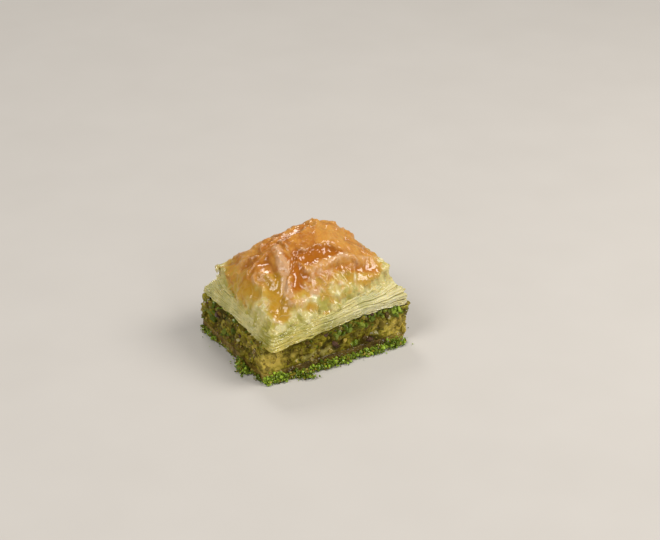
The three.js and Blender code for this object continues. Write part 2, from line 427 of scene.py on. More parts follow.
def crumpled(places, a, b, reach):
    """How far each point of the top sheets stands out, and what its colour is made of."""
    x, y = (places[:, :2] - MARK).T
    height, pale, syrup, honey, golden = folded(places)
    inner = ramp(1.06, 0.9, reach)
    height *= 0.2 + 0.8 * inner

    # loose sheet between the folds, calm on the smooth facet and under syrup, restless far from the middle
    facet = np.exp(-((x - 9) / 7) ** 2 - ((y + 1) / 5) ** 2)
    loose = (1 - 0.75 * facet) * (1 - 0.65 * honey) * (1 - 0.85 * syrup)
    far = np.clip(np.hypot((x + 2) / 20, (y + 5) / 13), 0, 1) ** 3
    crest = (1 - ridged(places, 6.0, 17)) ** 2
    height += loose * (0.35 * ridged(places, 7.5, 2) + 0.28 * (1 - 0.6 * far) * ridged(places, 3.1, 4)
                       + (0.12 + 0.3 * far) * crest - 0.6)
    pale = np.maximum(pale, (0.3 + 0.3 * far) * loose * ramp(0.45, 1.0, crest) * ramp(0.25, 0.5, reach))
    height -= ramp(1, 8, y) * ramp(4, -4, x)
    height += 0.08 * loose * rough(places, 1.1, 6)

    # upright runs down the sides
    run = places * (1, 1, 0.6)
    height += (1 - inner) * (0.38 * rough(run, 1.7, 8) + 0.6 * ridged(run, 4, 9) - 0.4)

    # browned on top, pale along the lower edge and at the two outer corners
    left = ramp(-10, -20, x)
    edge = 0.85 + 0.15 * ramp(2, 19, x) + 0.16 * left * ramp(-9, 1, y) - 0.06 * left * ramp(0, -8, y)
    blur = 0.2 + 0.08 * left
    browned = ramp(blur, -blur, reach - edge + 0.12 * rough(places, 6, 11) + 0.06 * rough(places, 1.8, 12))
    tips = ramp(0.6, 0.92, np.minimum(np.abs(a), np.abs(b))) * (a * b < 0)
    browned -= 0.75 * tips * (0.7 + 0.5 * rough(places, 3, 20))
    golden = np.maximum(golden, ramp(-2, 12, x + 0.4 * y) * (0.6 + 0.4 * rough(places, 5, 19, 2)))
    honey = np.maximum(honey, 0.6 * ramp(0.15, 0.55, rough(run, 5, 18, 2)) * ramp(0.8, 1.0, reach))
    kept = 0.3 + 0.7 * inner
    # The right layer is painted light: it makes the low straw colour paler towards the right end.
    return height, {"browned": browned, "pale": pale * kept, "syrup": syrup * kept, "honey": honey,
                    "golden": golden, "right": ramp(-4, 14, x)}


def tucked_under(bm):
    """Carries the edge of the top sheets down behind the leaves to the bed, and closes it."""
    turn, level = bm.verts.layers.float["turn"], bm.verts.layers.float["level"]
    edges = [e for e in bm.edges if e.is_boundary]
    for depth, setback in TUCKS:
        grown = bmesh.ops.extrude_edge_only(bm, edges=edges)["geom"]
        verts = [g for g in grown if isinstance(g, bmesh.types.BMVert)]
        edges = [g for g in grown if isinstance(g, bmesh.types.BMEdge) and g.is_boundary]
        turns = np.array([v[turn] for v in verts])
        inside = wall(np.array([v[level] for v in verts]) * (1 - depth), turns) - setback * outward(turns)
        inside[:, 2] = np.maximum(inside[:, 2], BED + 0.05)
        for vert, place in zip(verts, inside):
            vert.co = place
    bmesh.ops.edgeloop_fill(bm, edges=edges)


def crust_body():
    """The browned top sheets: a grid laid over the dome and its sides, creased, then closed underneath."""
    bm, a, b = sheet(*CRUST_GRID, size=1 + DRAPE)
    reach = np.maximum(np.abs(a), np.abs(b))
    turn = way_round(a, b, reach)
    hem = hem_level(outline(RIM, turn))
    level = 3 - (3 - hem) * np.clip((reach - 1) / DRAPE, 0, 1)
    moved(bm, np.where((reach <= 1)[:, None], dome(reach, turn), draped(level, turn)))
    soft = [v for v, r, t in zip(bm.verts, reach, turn)
            if r < 0.12 or 0.86 < r < 1.26 and min(abs(t - 1), abs(t - 2), abs(t - 3)) > 0.03]
    for _ in range(SOFTENING):
        bmesh.ops.smooth_vert(bm, verts=soft, factor=0.5, use_axis_x=True, use_axis_y=True, use_axis_z=True)
    bm.normal_update()
    places = np.array([v.co for v in bm.verts])
    normals = np.array([v.normal for v in bm.verts])
    height, looks = crumpled(places, a, b, reach)
    moved(bm, places + normals * height[:, None])
    layer_values(bm, **looks, turn=turn, level=level)
    tucked_under(bm)
    bmesh.ops.recalc_face_normals(bm, faces=bm.faces)
    return bm


# How far each leaf of the stack is drawn in where the leaves part, from the lowest up.
PARTED = (0, 0, 0, 0, 1, 0, 0, 0, 1.2, 0, 0, 1, 0, 0, 1, 0, 0.2, 0.8)
LEAF_COLUMNS = 500
LEAF_THICKNESS = 0.46
LEAF_DEPTH = 1.7  # how far a leaf reaches in behind its cut edge
LEAF_LEVELS = (0.05, 2.15)  # of the lowest and the highest leaf


def leaf(level, index):
    """One leaf of the stack, seen at its cut edge: a thin band all the way round."""
    section = np.array([
        (LEAF_DEPTH, 0.5), (0.14, 0.5), (0, 0), (0.14, -0.5), (LEAF_DEPTH, -0.5), (LEAF_DEPTH, 0.5)])
    bm, a, b = sheet(LEAF_COLUMNS, len(section) - 1)
    turn = (a + 1) * 2 % 4
    row = np.rint((b + 1) / 2 * (len(section) - 1)).astype(int)
    along = wall(np.full(len(turn), 1.0), turn) * (1, 1, 0)
    out = outward(turn)
    shift = 5.3 * index
    jag, sweep = rough(along, 0.9, shift, 2), rough(along, 5, shift, 2)
    parted = PARTED[index] * ramp(-0.2, 0.25, rough(along, 11, 3.1 * index, 1))
    drift = 0.16 * rough(along, 9, 0.3, 2) * min(1, 2 * level)
    base = wall(np.clip(level + drift + 0.03 * sweep, 0, 3), turn)
    lowest = ramp(3.5, 0, index)
    set_in = 1.3 * parted - 0.1 * jag - 0.22 * sweep + lowest * 0.5 * rough(along, 2.4, shift + 2, 2)
    depth, tall = section[row].T
    places = base - out * (set_in + depth)[:, None]
    places[:, 2] += 0.06 * jag + tall * LEAF_THICKNESS * (1 - 0.4 * parted) - 0.35 * lowest * ramp(0, 0.5, sweep)
    places[:, 2] -= 0.9 * np.exp(-np.abs(turn - 1) / 0.08) * ramp(9, 0, index)
    moved(bm, places)
    # Painted light and shade: bright makes the leaf edges lighter along the front right and the right side, fading
    # along the back, and darker along the left side and towards the front left corner.
    bright = np.minimum(ramp(0.1, 0.9, turn), 0.5 + 0.5 * ramp(3.2, 2.2, turn))
    bright = np.minimum(bright, ramp(4, 3.5, turn))
    # Painted shade: darker olive where a leaf is drawn in, and on its part behind the cut edge.
    layer_values(bm, recess=np.clip(1.1 * parted + 0.3 * depth, 0, 1), upper=level / 3, bright=bright)
    bmesh.ops.remove_doubles(bm, verts=bm.verts, dist=1e-4)
    bmesh.ops.recalc_face_normals(bm, faces=bm.faces)
    return bm


def leaf_stack():
    levels = np.linspace(*LEAF_LEVELS, len(PARTED))
    return joined(leaf(level, index) for index, level in enumerate(levels))


# ---- the filling and the sheets

CORNER_ROUND = 0.9
FILLING_LEAN, SHEETS_LEAN = 1.2, 0.6  # how far the right end leans out over its height
WALL_COLUMNS, FILLING_ROWS, SHEETS_ROWS = 520, 34, 28
SHEETS = 7  # soaked sheets whose edges show


def block(low, high, lean, turn, level):
    """A point of a block's upright side, level 0 to 1, the right end leaning out by lean at the top."""
    side, along = split(turn)
    right = high[0] - lean * (1 - level)
    x0, y0 = np.full(len(turn), low[0]), np.full(len(turn), low[1])
    y1 = np.full(len(turn), high[1])
    corner = np.stack([np.column_stack(c) for c in ((x0, y0), (right, y0), (right, y1), (x0, y1))])
    index = np.arange(len(turn))
    start, end = corner[side, index], corner[(side + 1) % 4, index]
    place = start + (end - start) * along[:, None]
    cut = CORNER_ROUND * np.abs(2 * along - 1) ** 24
    middle = (low[:2] + high[:2]) / 2
    place -= cut[:, None] * np.sign(place - middle) * 0.6
    return np.column_stack([place, low[2] + (high[2] - low[2]) * level])


def closed_wall(rows, place):
    """A wall right round a block, closed with a flat face at its foot and its top."""
    bm, a, b = sheet(WALL_COLUMNS, rows)
    places, layers = place((a + 1) * 2 % 4, (b + 1) / 2)
    moved(bm, places)
    layer_values(bm, **layers)
    bmesh.ops.remove_doubles(bm, verts=bm.verts, dist=1e-3)
    ends = [e for e in bm.edges if e.is_boundary]
    middle = (places[:, 2].min() + places[:, 2].max()) / 2
    for top in (False, True):
        bmesh.ops.edgeloop_fill(bm, edges=[e for e in ends if (e.verts[0].co.z > middle) == top])
    bmesh.ops.recalc_face_normals(bm, faces=bm.faces)
    return bm


class Zone(NamedTuple):
    """A patch of the filling's cut side: where it is, how big, and how amber, dark, light or green it looks."""

    middle: tuple
    size: tuple
    amber: float = 0.0
    dark: float = 0.0
    light: float = 0.0
    green: float = 0.0


# Patches, large pieces, heaps and beads are measured from the foot's front left corner.
ZONES = [
    Zone((2.5, 0, 6.5), (6, 5, 3.6), amber=1),
    Zone((9, 0, 7.5), (6, 4, 2), amber=0.5),
    Zone((20, 0, 5.4), (9, 4, 1.2), light=0.9),
    Zone((30, 0, 12), (5, 4, 1.8), green=1),
    Zone((36, 0, 10.4), (3, 3, 1.6), green=0.9),
    Zone((49, 0, 11.8), (4, 4, 1.4), green=1),
    Zone((34, 0, 4.6), (1.4, 3, 2.2), green=0.9),
    Zone((0, 24, 6), (3, 4, 2), green=0.7),
    Zone((0, 36, 8), (3, 4, 2), green=0.6),
    Zone((52, 30, 11), (3, 5, 2), green=0.8),
    Zone((15, 42, 6), (5, 3, 2), green=0.7),
    Zone((26, 0, 7.5), (1.6, 3, 1.6), dark=0.7),
    Zone((38, 0, 4.5), (5, 3, 2.4), dark=0.6),
    Zone((50, 0, 6), (5, 6, 4), amber=0.9),
    Zone((42, 0, 9), (5, 4, 2), amber=0.5),
    Zone((0, 28, 11.5), (3, 7, 2.6), dark=1),
    Zone((0, 8, 9), (3, 6, 2.4), amber=0.45),
    Zone((0, 20, 5), (3, 8, 2.4), dark=0.5),
    Zone((52, 22, 8), (3, 8, 3), amber=0.6),
    Zone((30, 42, 8), (9, 3, 3), amber=0.7),
    Zone((12, 42, 11), (8, 3, 2), dark=0.7),
]


def zoned(places):
    """How amber, dark, light and green the filling is at each point."""
    tones = np.zeros((4, len(places)))
    wander = places - FOOT_CORNER + 1.3 * np.column_stack([rough(places, 3, s) for s in (21, 22, 23)])
    for zone in ZONES:
        share = np.exp(-(((wander - zone.middle) / zone.size) ** 2).sum(1))
        tones = np.maximum(tones, np.outer(zone[2:], share))
    return tones


def filling_wall(turn, level):
    return block(NUTS_LOW, NUTS_HIGH, FILLING_LEAN, turn, level)


def filling_side(turn, level):
    """The filling's cut side: lumps and hollows, calm where it is amber, its tones, and painted shade in its
    hollows.
    """
    places = filling_wall(turn, level)
    ends = np.minimum(1, 8 * level * (1 - level) + 0.15)
    amber, dark, light, green = zoned(places)
    relief = 1.3 * (0.55 - cells(places, 3.2, 1)) + 0.4 * rough(places, 4, 2) + 0.35 * (0.5 - cells(places, 1.1, 3))
    relief *= 1 - 0.6 * np.clip(amber, 0, 1)
    places = places + outward(turn) * ((relief - 0.25) * ends)[:, None]
    # Painted shade: the hollows of the relief are darkened, less where it is amber.
    deep = ramp(0.3, -0.5, relief) * (1 - 0.8 * np.clip(amber, 0, 1))
    return places, {"amber": amber, "dark": dark, "light": light, "green": green, "deep": deep}


def sheet_side(turn, level):
    """The soaked sheets' thin edges, over each other."""
    places = block(FOOT_LOW, FOOT_HIGH, SHEETS_LEAN, turn, level)
    flat = places * (1, 1, 0)
    groove = np.abs((level * SHEETS + 0.5 * rough(flat, 8, 31)) % 1 - 0.5) * 2
    relief = 0.26 * ramp(0.95, 0.45, groove) + 0.3 * rough(flat, 2.2, 32) + 0.15 * rough(places, 0.8, 33)
    places = places + outward(turn) * (relief - 0.35)[:, None]
    amber = zoned(places + (0, 0, 3))[0]  # as 3 mm further up, in the filling
    light = 0.5 + 0.5 * rough(places, 3, 34)
    # Painted shade in the grooves between the sheets.
    return places, {"deep": ramp(0.6, 1.0, groove), "light": light, "amber": amber}


# ---- chopped nuts and crumbs


def chopped(seed, subdivisions, cuts):
    """One grain about 1 across: a lump with flat chopped faces."""
    dice = random.Random(seed)
    bm = bmesh.new()
    bmesh.ops.create_icosphere(bm, subdivisions=subdivisions, radius=0.5)
    for vert in bm.verts:
        vert.co *= 1 + 0.35 * noise.noise(vert.co * 3 + Vector((seed, 0, 0)))
    for _ in range(cuts):
        way = Vector([dice.gauss(0, 1) for _ in range(3)]).normalized()
        geom = [*bm.verts, *bm.edges, *bm.faces]
        cut = bmesh.ops.bisect_plane(bm, geom=geom, plane_co=way * dice.uniform(0.22, 0.36),
                                     plane_no=way, clear_outer=True)["geom_cut"]
        bmesh.ops.edgeloop_fill(bm, edges=[g for g in cut if isinstance(g, bmesh.types.BMEdge)])
    bmesh.ops.triangulate(bm, faces=[f for f in bm.faces if len(f.verts) > 4])
    mesh = as_mesh("grain", bm)
    mesh.attributes.new("tint", "FLOAT", "POINT")
    mesh.attributes.new("shade", "FLOAT", "POINT")
    return mesh


def strewn(grains, places):
    """A mesh of many grains. Each place is (position, size, flatness, tint)."""
    dice = random.Random(len(places))
    whole = bmesh.new()
    for position, size, flatness, tint in places:
        grain = dice.choice(grains)
        turn = Euler([dice.uniform(0, math.tau) for _ in range(3)]).to_matrix().to_4x4()
        shape = Matrix.Diagonal((dice.uniform(0.75, 1.3), dice.uniform(0.75, 1.15), flatness, 1))
        place = Matrix.Translation(Vector(position)) @ turn @ shape @ Matrix.Scale(size, 4)
        count = len(grain.vertices)
        grain.attributes["tint"].data.foreach_set("value", [tint] * count)
        grain.attributes["shade"].data.foreach_set("value", [dice.random()] * count)
        grain.transform(place)
        whole.from_mesh(grain)
        grain.transform(place.inverted())
    return whole


# Tints of the nuts, from 0 to 1: purple skin, brown, olive, leaf green, bright green, lime, amber.
SKIN, BROWN, OLIVE, GREEN, BRIGHT, LIME, AMBER = 0.02, 0.22, 0.4, 0.6, 0.8, 0.88, 0.98


def bit_tint(dice, amber, dark, light, green):
    """Draws a tint that suits the tones of the filling around a bit."""
    tints = [SKIN, BROWN, OLIVE, GREEN, BRIGHT, AMBER]
    weights = np.array([0.5, 4.0, 7, 0.6, 0.4, 2.2]) * (1 - min(0.97, 1.8 * amber))
    weights += 14 * amber * np.array([0, 0, 0.1, 0, 0, 1])
    weights += 14 * dark * np.array([0.35, 1, 0.3, 0.05, 0, 0])
    weights += 12 * light * np.array([0, 0, 1, 0, 0.1, 0.8])
    weights += 20 * green * np.array([0.05, 0, 0.15, 1, 0.45, 0])
    return dice.choices(tints, weights)[0]


# Large pieces that stand out in the sides: place, size, tint.
PIECES = [
    (27.5, 0.5, 10.6, 2.8, GREEN), (29.6, 0.3, 11.4, 2.4, GREEN), (31, 0.1, 10.2, 1.9, LIME),
    (28.8, 0.1, 9.6, 1.6, GREEN), (35.6, 0.1, 10.6, 3.4, BRIGHT), (37.4, 0.4, 9.6, 2.2, GREEN),
    (25.6, 0.1, 6.9, 2.5, SKIN), (26.6, 0.1, 5.6, 1.7, SKIN), (39.4, 0.3, 12, 2.8, GREEN),
    (41, 0.2, 10.6, 2.4, AMBER), (29.4, 0, 6.8, 2, AMBER), (33.2, 0.2, 5, 2.4, GREEN),
    (43.4, 0.2, 8.4, 2.8, AMBER), (45.6, 0, 10.6, 2.2, OLIVE), (47.6, 0.2, 12.4, 2.2, LIME),
    (49.8, 0.3, 12.4, 2, LIME), (48.8, 0.1, 11.2, 1.5, LIME), (51, 0.6, 10.8, 1.8, GREEN),
    (20.5, 0.2, 8.4, 2.2, AMBER), (17, 0.1, 8.8, 2.4, OLIVE), (13, 0, 7.8, 1.9, AMBER),
    (36.6, 0.1, 6, 2, BROWN), (38.6, 0, 4.6, 2.4, SKIN), (0.2, 33, 7.5, 3, GREEN),
    (0.1, 25.5, 6.4, 2.6, BRIGHT), (0.1, 29.5, 10.6, 3.2, SKIN), (0, 19.4, 9.6, 2.8, GREEN),
    (0.1, 16.6, 7.8, 2.2, OLIVE), (0, 12.6, 10.4, 2.6, OLIVE), (0, 37.6, 10.4, 2.6, AMBER),
    (0.1, 39, 6.6, 2.2, OLIVE), (52, 12, 9, 2.8, GREEN), (52, 26, 7.6, 2.6, AMBER),
    (52, 35, 10, 2.4, SKIN), (14, 42, 8.6, 2.8, GREEN), (31, 42, 10, 2.6, BRIGHT),
    (43, 42, 7, 2.6, AMBER),
]
SIDE_BITS, GAP_BITS, COVERED_BITS = 1500, 170, 260  # in the sides, in the front gap, under the crust


def filling_bits():
    """Chopped nuts bedded in the cut sides of the filling."""
    dice = random.Random(41)
    turns = np.array([dice.uniform(0, 4) for _ in range(SIDE_BITS)])
    levels = np.array([dice.uniform(0.02, 0.99) for _ in turns])
    places, tones = filling_side(turns, levels)
    out = outward(turns)
    bits = []
    for index, (spot, way) in enumerate(zip(places, out)):
        patch = [tones[name][index] for name in ("amber", "dark", "light", "green")]
        size = min(3.4, dice.lognormvariate(0.15, 0.5))
        sunk = dice.uniform(0.12, 0.46) * size
        bits.append((spot - way * sunk, size, dice.uniform(0.6, 1), bit_tint(dice, *patch)))
    # green bits that show in the gap under the crust's front edge
    for _ in range(GAP_BITS):
        turn = np.array([dice.triangular(0.4, 0.99, 0.66)])
        spot = filling_wall(turn, np.array([dice.uniform(0.84, 1.08)]))[0] + (0, dice.uniform(-0.3, 1.4), 0)
        tint = dice.choices([GREEN, BRIGHT, OLIVE, SKIN], [4, 2, 3, 1])[0]
        bits.append((spot, dice.uniform(0.6, 1.7), 0.8, tint))
    # smaller ones under the crust all the way round
    for _ in range(COVERED_BITS):
        turn = np.array([dice.uniform(1, 4)])
        spot = filling_wall(turn, np.array([dice.uniform(0.86, 1.08)]))[0]
        spot = spot - outward(turn)[0] * dice.uniform(0, 2.4)
        size = dice.uniform(0.5, 2.0)
        bits.append((spot, size, 0.8, dice.choices([OLIVE, BROWN, GREEN, AMBER], [6, 2, 2, 1])[0]))
    pieces = [(FOOT_CORNER + spot, size, 0.85, tint) for *spot, size, tint in PIECES]
    return joined([strewn([chopped(seed, 1, 3) for seed in range(12)], bits),
                   strewn([chopped(seed, 2, 5) for seed in range(8)], pieces)])


class Heap(NamedTuple):
    """Ground nut heaped against the foot: from, to, how far it spreads, how high, how many, its tint."""

    start: tuple
    end: tuple
    spread: float
    height: float
    count: int
    bright: float


HEAPS = [
    Heap((0.8, -0.1), (6.6, -1.1), 1.2, 2.6, 360, 2.2),
    Heap((7, -0.5), (11.5, -1), 0.9, 1.5, 130, 0.4),
    Heap((11, -1), (14.8, -4.2), 1.3, 2.2, 230, 0.45),
    Heap((15, -0.6), (21, -1.2), 0.9, 1.2, 130, 0.5),
    Heap((20, -1.2), (30, -2), 1.2, 2.2, 300, 0.8),
    Heap((29, -0.8), (38, -1.4), 1.1, 1.5, 190, 0.6),
    Heap((36, -1.6), (43, -1.8), 1.2, 2.2, 240, 0.8),
    Heap((45, -1.2), (50.6, -1.4), 1.4, 2.6, 260, 1),
    Heap((51.5, 1), (52, 6), 0.6, 1.2, 70, 0.6),
    Heap((52, 8), (52, 36), 0.5, 0.8, 190, 0.5),
    Heap((-0.2, 2), (0.3, 9), 0.5, 0.9, 60, 0.3),
    Heap((-2, 8.6), (-1.4, 13.6), 1.3, 3.2, 290, 0.6),
    Heap((-0.6, 12), (-0.2, 17), 0.9, 1.8, 120, 0.5),
    Heap((0.2, 19), (0.4, 30), 0.5, 1.2, 90, 0.3),
    Heap((-0.2, 30), (-0.2, 41), 0.8, 1.6, 180, 0.5),
    Heap((4, 42), (48, 42.2), 0.6, 1, 330, 0.5),
]
STRAY_CRUMBS = 90


def foot_crumbs():
    """Ground nut along the foot, flat where it meets the floor."""
    dice = random.Random(7)
    crumbs = []
    for heap in HEAPS:
        start, end = np.array(heap.start), np.array(heap.end)
        for _ in range(heap.count):
            middle = start + (end - start) * dice.random() + FOOT_LOW[:2]
            away = np.array([dice.gauss(0, heap.spread), dice.gauss(0, heap.spread)]) * 0.62
            near = math.exp(-np.linalg.norm(away) / heap.spread)
            size = min(1.5, dice.lognormvariate(-0.55, 0.4))
            z = size * 0.5 + dice.random() ** 1.5 * heap.height * near * 1.5
            weights = [3.8 * heap.bright, 3, max(0.6, 2.6 * (1.2 - heap.bright)), 0.3]
            tint = dice.choices([BRIGHT, GREEN, OLIVE, AMBER], weights)[0]
            crumbs.append(((*(middle + away), z), size, dice.uniform(0.6, 1), tint))
    for _ in range(STRAY_CRUMBS):
        turn = np.array([dice.uniform(0, 4)])
        away = min(4.5, dice.expovariate(0.7))
        spot = block(FOOT_LOW, FOOT_HIGH, 0, turn, np.array([0.0]))[0] + outward(turn)[0] * away
        size = dice.uniform(0.2, 0.5)
        crumbs.append(((spot[0], spot[1], size * 0.5), size, 0.8, dice.choice([BRIGHT, GREEN, OLIVE])))
    whole = strewn([chopped(seed, 1, 1) for seed in range(20, 26)], crumbs)
    for vert in whole.verts:
        vert.co.z = max(vert.co.z, 0)
    return whole


FLAKES, TORN_TIPS = 110, 28  # scraps all round the cut side, and at its two outer corners
FLAKE_THICKNESS = 0.11


def flakes():
    """Torn scraps of leaf that stand off the cut side of the crust."""
    dice = random.Random(19)
    scraps = []
    for index in range(FLAKES + TORN_TIPS):
        tip = index >= FLAKES
        turn, level = dice.uniform(0, 4), dice.choice([0.1, 0.6, 1.0, 1.4, 1.9]) + dice.uniform(-0.2, 0.2)
        if tip:
            turn, level = dice.choice([1, 3]) + dice.gauss(0, 0.03), dice.uniform(1.6, 2.95)
        length, depth = dice.uniform(0.015, 0.06), dice.uniform(0.3, 0.5 if tip else 0.9)
        lift, seed = dice.uniform(-0.25, 0.1 if tip else 0.5), dice.uniform(0, 50)
        bm, a, b = sheet(12, 4)
        turns = np.clip(turn + a * length, 0.002, 3.998)
        edge = np.array([noise.noise(Vector((2.5 * p, seed, 0))) for p in a])
        share = (b + 1) / 2
        out = share * depth * (1 - 0.95 * np.abs(a) ** 3) * (0.7 + 1.6 * edge)
        places = wall(np.full(len(a), np.clip(level, 0, 3)), turns) + outward(turns) * (out - 0.5)[:, None]
        places[:, 2] += lift * share ** 2 + 0.12 * edge
        moved(bm, places)
        # The scraps get a middling share of the leaves' painted light and shade, and none of their painted gap
        # shade.
        layer_values(bm, recess=0, upper=min(1, level / 3), bright=0.6)
        bmesh.ops.solidify(bm, geom=bm.faces[:], thickness=FLAKE_THICKNESS)
        bmesh.ops.recalc_face_normals(bm, faces=bm.faces)
        scraps.append(bm)
    return joined(scraps)


# Beads of syrup on the sides and by the foot: place and width.
BEADS = [
    (-0.1, 5.4, 9.6, 1.25), (-0.1, 6.4, 8.3, 0.8), (0.1, 15, 6, 0.7), (16, 0.1, 1.2, 0.8),
    (29, 0.1, 1.4, 0.9), (30.6, 0.1, 1.2, 0.6), (21, 0, 1.6, 0.6), (12, 0, 2.2, 0.6),
    (33, 0.2, 5.2, 0.6), (45, 0.1, 3.2, 0.7), (0, 30, 3, 0.8), (52.2, 16, 4, 0.8),
    (24, 42.2, 5, 0.9), (40, 42.1, 2, 0.7),
]


def syrup_bead(spot, width):
    bm = bmesh.new()
    bmesh.ops.create_icosphere(bm, subdivisions=3, radius=width / 2)
    bmesh.ops.scale(bm, vec=(0.9, 0.9, 1.25), verts=bm.verts)
    bmesh.ops.translate(bm, vec=FOOT_CORNER + spot, verts=bm.verts)
    return bm


# ---- finishes


class Value:
    """A socket of a finish that adds and multiplies like a number."""

    def __init__(self, finish, socket):
        self.finish, self.socket = finish, socket

    def math(self, operation, *values):
        return self.finish.node("Math", {"operation": operation}, *values)

    def __add__(self, other):
        return self.math("ADD", self, other)

    def __sub__(self, other):
        return self.math("SUBTRACT", self, other)

    def __rsub__(self, other):
        return self.math("SUBTRACT", other, self)

    def __mul__(self, other):
        return self.math("MULTIPLY", self, other)

    __radd__, __rmul__ = __add__, __mul__

    def above(self, low, high):
        """0 below low, 1 above high, smooth between."""
        return self.finish.node("MapRange", {"interpolation_type": "SMOOTHSTEP"}, self, low, high, 0.0, 1.0)


class Finish:
    """A material with one Principled shader. Constants go on its sockets by name."""

    def __init__(self, name, **constants):
        self.material = bpy.data.materials.new(name)
        self.material.use_nodes = True
        self.tree = self.material.node_tree
        self.shader = self.tree.nodes["Principled BSDF"]
        for socket, value in constants.items():
            self.shader.inputs[socket.replace("_", " ")].default_value = value
        self.place = self.node("TexCoord", {}, output="Object")

    def node(self, kind, settings, *values, output=0, **named):
        """Any node: its settings first, then values or links for its sockets in order or by name."""
        made = self.tree.nodes.new("ShaderNode" + kind)
        for key, value in settings.items():
            if key == "stops":
                elements = made.color_ramp.elements
                for _ in range(len(value) - len(elements)):
                    elements.new(0.5)
                for element, (position, colour) in zip(elements, value):
                    element.position, element.color = position, (*colour, 1)
            else:
                setattr(made, key, value)
        sockets = [(s, v) for s, v in zip(made.inputs, values) if v is not None]
        sockets += [(made.inputs[key.replace("_", " ")], v) for key, v in named.items()]
        for socket, value in sockets:
            if isinstance(value, Value):
                self.tree.links.new(value.socket, socket)
            else:
                socket.default_value = value
        return Value(self, made.outputs[output])

    def layer(self, name):
        return self.node("Attribute", {"attribute_name": name}, output="Fac")

    def grain(self, scale, detail=3.0, stretch=None):
        """Noise over the piece, 0 to 1."""
        place = self.place
        if stretch:
            place = self.node("Mapping", {}, place, Scale=stretch)
        return self.node("TexNoise", {}, Vector=place, Scale=scale, Detail=detail, Roughness=0.55)

    def mix(self, share, first, second, blend="MIX"):
        """From the first colour to the second, by a share."""
        first, second = (c if isinstance(c, Value) else (*c, 1) for c in (first, second))
        skipped = [None] * 5  # sockets for numbers and vectors
        return self.node("Mix", {"data_type": "RGBA", "blend_type": blend},
                         share, *skipped, first, second, output=2)

    def overlaid(self, colour, *stains):
        """Lays tints over a colour in turn, real tones and painted light and shade alike: tint, where it lies, from
        and to what value, and how strong.
        """
        for tint, place, low, high, strength in stains:
            colour = self.mix(place.above(low, high) * strength, colour, tint)
        return colour

    def feeds(self, **sockets):
        for name, value in sockets.items():
            self.tree.links.new(value.socket, self.shader.inputs[name.replace("_", " ")])

    def bumped(self, height, distance):
        self.feeds(Normal=self.node("Bump", {}, Strength=1.0, Distance=distance, Height=height))


def moist(name, light_in, tint, depth, specular, **more):
    """A finish that lets a little light in, with a coat of syrup."""
    return Finish(name, Subsurface_Weight=light_in, Subsurface_Radius=tint, Subsurface_Scale=depth,
                  Specular_IOR_Level=specular, **{"Coat_Roughness": 0.1, "Coat_IOR": 1.5, **more})


STRAW = (0.66, 0.56, 0.22)
STRAW_GREEN = (0.42, 0.37, 0.075)
CREAM = (0.82, 0.77, 0.48)
YELLOW = (0.55, 0.33, 0.045)
GOLD = (0.58, 0.25, 0.035)
PALE_GOLD = (0.68, 0.38, 0.10)
ORANGE = (0.44, 0.15, 0.015)
HONEY = (0.50, 0.26, 0.010)
DEEP_AMBER = (0.41, 0.12, 0.004)
IVORY_AND_GLINT = (0.88, 0.82, 0.60)
PINK_AND_SHEEN = (0.66, 0.41, 0.225)
TOASTED = (0.36, 0.16, 0.04)


